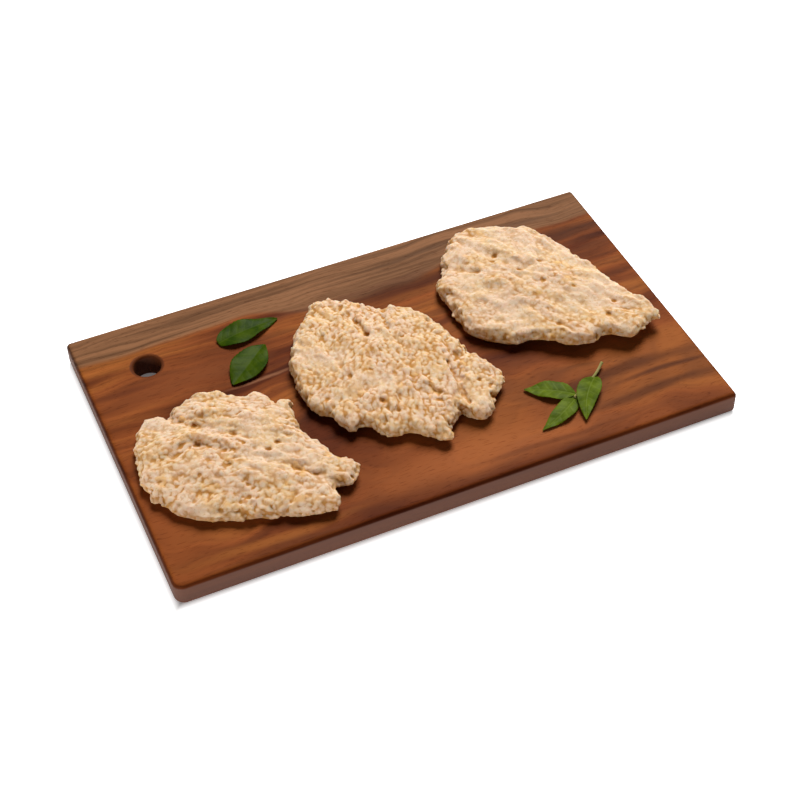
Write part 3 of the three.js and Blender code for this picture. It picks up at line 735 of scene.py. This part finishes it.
def floury_breading():
    """Flour and crumb coating: matt and dusty, pale on its crests, gold in places, tan in its hollows from
    batter and painted shade, and tan down its sides as painted shade.
    """
    material, shader = new_material("floury_breading")

    def add(kind, sockets=(), **settings):
        return add_node(material, kind, sockets, **settings)

    place = add("ShaderNodeTexCoord").outputs["Object"]
    relief, crease, tone, crest, dusty, wall = [
        add("ShaderNodeAttribute", attribute_name=name).outputs["Fac"] for name in KEPT_FOR_COLOUR]
    flour, tan = linear(FLOUR_WHITE), linear(BATTER_TAN_AND_SHADE)

    def blotches(size, detail):
        """Noise with spots of a size in millimetres."""
        spots = {"Vector": place, "Scale": 1 / (size * MM), "Detail": detail}
        return add("ShaderNodeTexNoise", spots).outputs["Fac"]

    coat = tinted(material, linear(COATING), linear(COATING_PINK), blotches(16, 1), 0.4, 0.6)
    coat = tinted(material, coat, tan, tone, 0.5, 0.0, 0.4)
    coat = tinted(material, coat, flour, crest, 0.5, 0.95, 0.7)
    loose_flour = add("ShaderNodeMix", {0: 0.3, 6: coat, 7: flour}, data_type="RGBA").outputs[2]
    gold_span = {"Value": blotches(18, 0), "From Min": 0.48, "From Max": 0.6, "To Max": 0.7}
    golden = add("ShaderNodeMapRange", gold_span, interpolation_type="SMOOTHSTEP").outputs[0]
    coat = tinted(material, coat, linear(CRUMB_GOLD), tone, 0.7, 1.0, golden)
    spots_span = {"Value": blotches(5, 1), "From Min": 0.4, "From Max": 0.6, "To Min": 0.27, "To Max": 0.9}
    in_spots = add("ShaderNodeMapRange", spots_span).outputs[0]
    # What lies over the coat, in order: its colour, what it goes by, from, to and the most it covers.
    for colour, value, low, high, most in (
        # Tan round the lumps' feet and in the creases: the batter's own colour and painted shade.
        (tan, crest, 0.42, 0.0, in_spots),
        (tan, crease, 0.03, 0.26, 0.95),
        (loose_flour, dusty, 0.05, 0.7, 0.8),
        # Tan down the sides: painted shade.
        (tan, wall, 0.3, 1.0, 0.5),
        # Tan and brown over the hollows and pits: the batter's own colour and painted shade.
        (tan, relief, -0.1, -0.8, 0.75),
        (linear(PIT_BROWN_AND_SHADE), relief, -1.0, -2.1, 1.0),
        (tan, blotches(1.3, 0), 0.62, 0.74, 0.35),
    ):
        coat = tinted(material, coat, colour, value, low, high, most)
    links = material.node_tree.links
    links.new(coat, shader.inputs["Base Color"])
    # Flour lies in grains of about 0.1 mm, drawn here as grit 0.45 mm across so that it shows.
    grit = {"Height": blotches(0.45, 2), "Strength": 0.55, "Distance": 0.12 * MM}
    links.new(add("ShaderNodeBump", grit).outputs[0], shader.inputs["Normal"])
    # Flour and crumbs let a little light through, which warms and softens the creases.
    shader.inputs["Subsurface Weight"].default_value = 0.4
    shader.inputs["Subsurface Radius"].default_value = (1.0, 0.6, 0.35)
    shader.inputs["Subsurface Scale"].default_value = 1.6 * MM
    shader.inputs["Roughness"].default_value = 0.85
    shader.inputs["IOR"].default_value = 1.4
    shader.inputs["Specular IOR Level"].default_value = 0.2
    return material


breading = floury_breading()
for seed, (side, lie) in enumerate(FILLETS.items(), 11):
    fillet = breaded_fillet(side, seed=seed, **lie)
    fillet.data.materials.append(breading)
    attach(fillet, "root")
    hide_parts(f"fillet_{side}")

# ------------------------------------------------------------------------------------------------
# The loose basil leaves: picked off the stem and laid face up on the board. Each blade is up to
# about half a millimetre thick, quilted between its side veins, with the midrib in a furrow.

REST_HEIGHT = BOARD_THICKNESS + 0.3
LEAF_THICKNESS = 0.45
TOOTH_SPACING = 2.6
TOOTH_DEPTH = 0.018
LEAF_STATIONS = 84
LEAF_STRIPS = 14
VEIN_SPACING = 5.2
VEIN_SLANT = 0.8
LEAF_GREEN = "#3b4c04"
LEAF_DARK = "#263a03"
LEAF_VEIN = "#455a0e"

LOOSE_LEAVES = {
    "leaf_back": dict(base=(-87, 61.5), tip=(-46.5, 67), width=18, widest=0.36, bow=0.5, lift=0.2,
                      arch=1.2, fold=0.12, wave=0.6),
    "leaf_front": dict(base=(-61.5, 50), tip=(-90.5, 25), width=20.5, widest=0.5, bow=0.5, lift=0.2,
                       arch=1.2, fold=0.12, wave=0.5),
}


def blade_mesh(leaf, points, faces, veins):
    """Adds one leaf blade to lists of points, faces and vein strengths: an upper and a lower skin."""
    base, tip = Vector(leaf["base"]), Vector(leaf["tip"])
    run = tip - base
    length = run.length
    ahead = run / length
    leftward = Vector((-ahead.y, ahead.x))
    rise = math.log(0.5) / math.log(leaf["widest"])
    sheets = []
    for upper in (True, False):
        sheet = []
        for station in range(LEAF_STATIONS + 1):
            along = 0.02 + 0.965 * station / LEAF_STATIONS
            half_width = leaf["width"] / 2 * math.sin(math.pi * along**rise) ** 0.9
            tooth = 1 + TOOTH_DEPTH * math.sin(2 * math.pi * along * length / TOOTH_SPACING)
            row = []
            for strip in range(-LEAF_STRIPS, LEAF_STRIPS + 1):
                side = strip / LEAF_STRIPS
                reach = abs(side) * half_width
                toothed = tooth if abs(side) == 1 else 1
                offset = leaf["bow"] * math.sin(math.pi * along) + side * half_width * toothed
                height = max(
                    leaf["lift"] + leaf["arch"] * math.sin(math.pi * along) * (1 - 0.35 * along)
                    + leaf["fold"] * reach
                    + leaf["wave"] * side**2 * math.sin(4.5 * math.pi * along + side), 0)
                half_turn = 0.5 if side > 0 else 0
                phase = (along * length - VEIN_SLANT * reach + 0.02 * reach**2) / VEIN_SPACING + half_turn
                from_vein = abs(phase - round(phase)) * VEIN_SPACING
                inside = 1 - abs(side) ** 4
                vein = math.exp(-((from_vein / 0.32) ** 2)) * inside * min(reach / 1.0, 1)
                midrib = math.exp(-((reach / 0.45) ** 2)) * (1 - 0.6 * along)
                pillow = math.sin(math.pi * phase) ** 2 * inside * min(reach / 2.5, 1)
                relief = 0.09 * pillow - 0.04 * vein - 0.2 * midrib
                if upper:
                    height += LEAF_THICKNESS * (0.45 + 0.55 * inside) + relief
                else:
                    height += 0.8 * relief - 0.3 * midrib
                    height = max(height, -0.15)
                place = base + ahead * (along * length) + leftward * offset
                row.append(len(points))
                points.append((place.x * MM, place.y * MM, (REST_HEIGHT + height) * MM))
                veins.append(max(vein, midrib))
            sheet.append(row)
        sheets.append(sheet)
    top, bottom = sheets
    bands = [(near, far, False) for near, far in zip(top, top[1:])]
    bands += [(near, far, True) for near, far in zip(bottom, bottom[1:])]
    for near, far, flip in bands:
        for i in range(len(near) - 1):
            face = (near[i], far[i], far[i + 1], near[i + 1])
            faces.append(face if not flip else face[::-1])
    left = [row[0] for row in top], [row[0] for row in bottom]
    right = [row[-1] for row in bottom], [row[-1] for row in top]
    for upper_line, lower_line in (left, right, (bottom[0], top[0]), (top[-1], bottom[-1])):
        for i in range(len(upper_line) - 1):
            faces.append((upper_line[i], lower_line[i], lower_line[i + 1], upper_line[i + 1]))


def basil_skin(name, green, dark, vein_green):
    """Fresh basil: a satin waxy skin in patches of two greens, with slightly paler veins."""
    material, shader = new_material(name)

    def add(kind, sockets=(), **settings):
        return add_node(material, kind, sockets, **settings)

    def mixed(factor, first, second):
        return add("ShaderNodeMix", {0: factor, 6: first, 7: second}, data_type="RGBA").outputs[2]

    place = add("ShaderNodeTexCoord").outputs["Object"]
    vein = add("ShaderNodeAttribute", attribute_name="vein").outputs["Fac"]
    patch_size = {"Vector": place, "Scale": 1 / (7 * MM), "Detail": 3.0}
    patches = add("ShaderNodeTexNoise", patch_size).outputs["Fac"]
    patches = add("ShaderNodeMapRange", {"Value": patches, "From Min": 0.35, "From Max": 0.65}).outputs[0]
    green_skin = mixed(patches, linear(dark), linear(green))
    faint = add("ShaderNodeMath", {0: vein, 1: 0.3}, operation="MULTIPLY").outputs[0]
    links = material.node_tree.links
    links.new(mixed(faint, green_skin, linear(vein_green)), shader.inputs["Base Color"])
    cells = add("ShaderNodeTexVoronoi", {"Vector": place, "Scale": 1 / (0.9 * MM)}).outputs["Distance"]
    bump = add("ShaderNodeBump", {"Height": cells, "Strength": 0.3, "Distance": 0.08 * MM}).outputs[0]
    links.new(bump, shader.inputs["Normal"])
    shader.inputs["Roughness"].default_value = 0.4
    shader.inputs["IOR"].default_value = 1.45
    shader.inputs["Specular IOR Level"].default_value = 0.03
    return material


def leafy_piece(name, points, faces, veins, material):
    """An object of leaf blades and stalks, with the strength of its veins kept for the material."""
    piece = mesh_piece(name, points, faces)
    piece.data.attributes.new("vein", "FLOAT", "POINT").data.foreach_set("value", veins)
    piece.data.shade_smooth()
    piece.data.materials.append(material)
    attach(piece, "root")
    return piece


dark_basil = basil_skin("dark_basil_skin", LEAF_GREEN, LEAF_DARK, LEAF_VEIN)
for node, leaf in LOOSE_LEAVES.items():
    points, faces, veins = [], [], []
    blade_mesh(leaf, points, faces, veins)
    piece = leafy_piece(f"basil_{node}", points, faces, veins, dark_basil)
    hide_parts(node)

# ------------------------------------------------------------------------------------------------
# The basil sprig: the tip of a young stem with three lighter leaves on it, laid on the board. The
# stem is pale tan. The longest leaf springs from near its cut end, the other two from its far end.

STEM_WAY = ((108.5, -49.5, 2.6), (100.5, -56, 1.6), (91, -61, 1.1), (82, -66.5, 1.0))
STEM_R = 0.8
STEM_SIDES = 16
STEM_STEPS = 40
SPRIG_GREEN = "#5d6d15"
SPRIG_DARK = "#43530a"
SPRIG_VEIN = "#78863a"
STEM_TAN = "#9c8a5c"
SPRIG_LEAVES = (
    dict(base=(84.5, -64.5), tip=(58.5, -48.5), width=14, widest=0.42, bow=-0.5, lift=0.4,
         arch=1.2, fold=0.14, wave=0.5),
    dict(base=(83, -66.5), tip=(54, -81.5), width=11.5, widest=0.36, bow=1.5, lift=0.2,
         arch=1.2, fold=0.14, wave=0.5),
    dict(base=(100, -57), tip=(79.5, -85.5), width=13.5, widest=0.34, bow=-2, lift=1.4,
         arch=1.4, fold=0.2, wave=0.4),
)


def curve_through(knots, share):
    """A point on a smooth curve through the knots, at a share of its run from 0 to 1."""
    span = min(int(share * (len(knots) - 1)), len(knots) - 2)
    t = share * (len(knots) - 1) - span
    before = Vector(knots[max(span - 1, 0)])
    start, end = Vector(knots[span]), Vector(knots[span + 1])
    after = Vector(knots[min(span + 2, len(knots) - 1)])
    return 0.5 * (2 * start + (end - before) * t + (2 * before - 5 * start + 4 * end - after) * t**2
                  + (3 * start - before - 3 * end + after) * t**3)


def stem_mesh(points, faces, veins):
    """Adds the stem: a slightly square tube that thickens at the cut end and at the joint."""
    rings = []
    for step in range(STEM_STEPS + 1):
        share = step / STEM_STEPS
        centre = curve_through(STEM_WAY, share)
        before = curve_through(STEM_WAY, max(share - 0.02, 0))
        after = curve_through(STEM_WAY, min(share + 0.02, 1))
        heading = (after - before).normalized()
        sideways = heading.cross(Vector((0, 0, 1))).normalized()
        upwards = sideways.cross(heading)
        at_cut_end = 0.12 * math.exp(-((share / 0.05) ** 2))
        at_joint = 0.2 * math.exp(-(((share - 0.95) / 0.06) ** 2))
        reach = STEM_R * (1 + at_cut_end + at_joint)
        ring = []
        for side in range(STEM_SIDES):
            turn = 2 * math.pi * side / STEM_SIDES
            squarish = 1 + 0.07 * math.cos(4 * turn)
            out = (sideways * math.cos(turn) + upwards * math.sin(turn)) * reach * squarish
            place = centre + out
            ring.append(len(points))
            points.append((place.x * MM, place.y * MM, (REST_HEIGHT + max(place.z, -0.1)) * MM))
            veins.append(1.0)
        rings.append(ring)
    for near, far in zip(rings, rings[1:]):
        for i in range(STEM_SIDES):
            j = (i + 1) % STEM_SIDES
            faces.append((near[i], near[j], far[j], far[i]))
    faces.append(tuple(reversed(rings[0])))
    faces.append(tuple(rings[-1]))


young_basil = basil_skin("young_basil_skin", SPRIG_GREEN, SPRIG_DARK, SPRIG_VEIN)
points, faces, veins = [], [], []
for leaf in SPRIG_LEAVES:
    blade_mesh(leaf, points, faces, veins)
sprig = leafy_piece("basil_sprig_leaves", points, faces, veins, young_basil)
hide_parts("sprig")
points, faces, veins = [], [], []
stem_mesh(points, faces, veins)
stem_skin = basil_skin("basil_stem_skin", STEM_TAN, SPRIG_VEIN, STEM_TAN)
stem = leafy_piece("basil_sprig_stem", points, faces, veins, stem_skin)
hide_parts("sprig")

# ------------------------------------------------------------------------------------------------
# The studio: a sheet of pale paper under the board, a wide soft light high up behind and to the
# right, a small one low at the front left, and a faint, even white surround.

FLOOR_SIZE = 6.0
FLOOR_GLOW = 0.9
GLOW_UNDER_BOARD = 0.1
GLOW_FADES_OVER = 2 * MM
SURROUND = 0.06
bpy.ops.mesh.primitive_plane_add(size=FLOOR_SIZE)
floor = bpy.context.object
floor.name = "floor"
floor_material, floor_shader = new_material("pale_paper")
floor_shader.inputs["Base Color"].default_value = linear("#fbfbfb")
floor_shader.inputs["Roughness"].default_value = 0.9
floor_shader.inputs["Emission Color"].default_value = (1, 1, 1, 1)
# The sheet glows from below, as over a light box, and only faintly where the board lies on it.
floor_place = add_node(floor_material, "ShaderNodeTexCoord").outputs["Object"]
from_middle = add_node(floor_material, "ShaderNodeVectorMath", {0: floor_place}, operation="ABSOLUTE")
half_board = (BOARD_LENGTH / 2 * MM, BOARD_WIDTH / 2 * MM, 0)
past_edges = {0: from_middle.outputs[0], 1: half_board}
past_edges = add_node(floor_material, "ShaderNodeVectorMath", past_edges, operation="SUBTRACT")
past_edges = add_node(floor_material, "ShaderNodeSeparateXYZ", {"Vector": past_edges.outputs[0]}).outputs
beyond = {0: past_edges["X"], 1: past_edges["Y"]}
beyond = add_node(floor_material, "ShaderNodeMath", beyond, operation="MAXIMUM").outputs[0]
glow = {"Value": beyond, "From Min": -GLOW_FADES_OVER, "From Max": GLOW_FADES_OVER}
glow.update({"To Min": GLOW_UNDER_BOARD, "To Max": FLOOR_GLOW})
glow = add_node(floor_material, "ShaderNodeMapRange", glow).outputs[0]
floor_material.node_tree.links.new(glow, floor_shader.inputs["Emission Strength"])
floor.data.materials.append(floor_material)

world = bpy.data.worlds.new("studio")
world.use_nodes = True
world.node_tree.nodes["Background"].inputs["Color"].default_value = (1, 1, 1, 1)
world.node_tree.nodes["Background"].inputs["Strength"].default_value = SURROUND
bpy.context.scene.world = world


def soft_box(name, place, size, watts):
    """A square area light that points at the middle of the board."""
    light = bpy.data.objects.new(name, bpy.data.lights.new(name, "AREA"))
    light.data.size = size
    light.data.energy = watts
    light.location = place
    light.rotation_euler = Vector(place).to_track_quat("Z", "Y").to_euler()
    bpy.context.scene.collection.objects.link(light)


soft_box("high_behind", (1.5, 2.1, 3.15), 1.95, 240)
soft_box("low_in_front", (-1.25, -1.1, 0.3), 0.7, 14)
bpy.context.scene.view_settings.view_transform = "Standard"
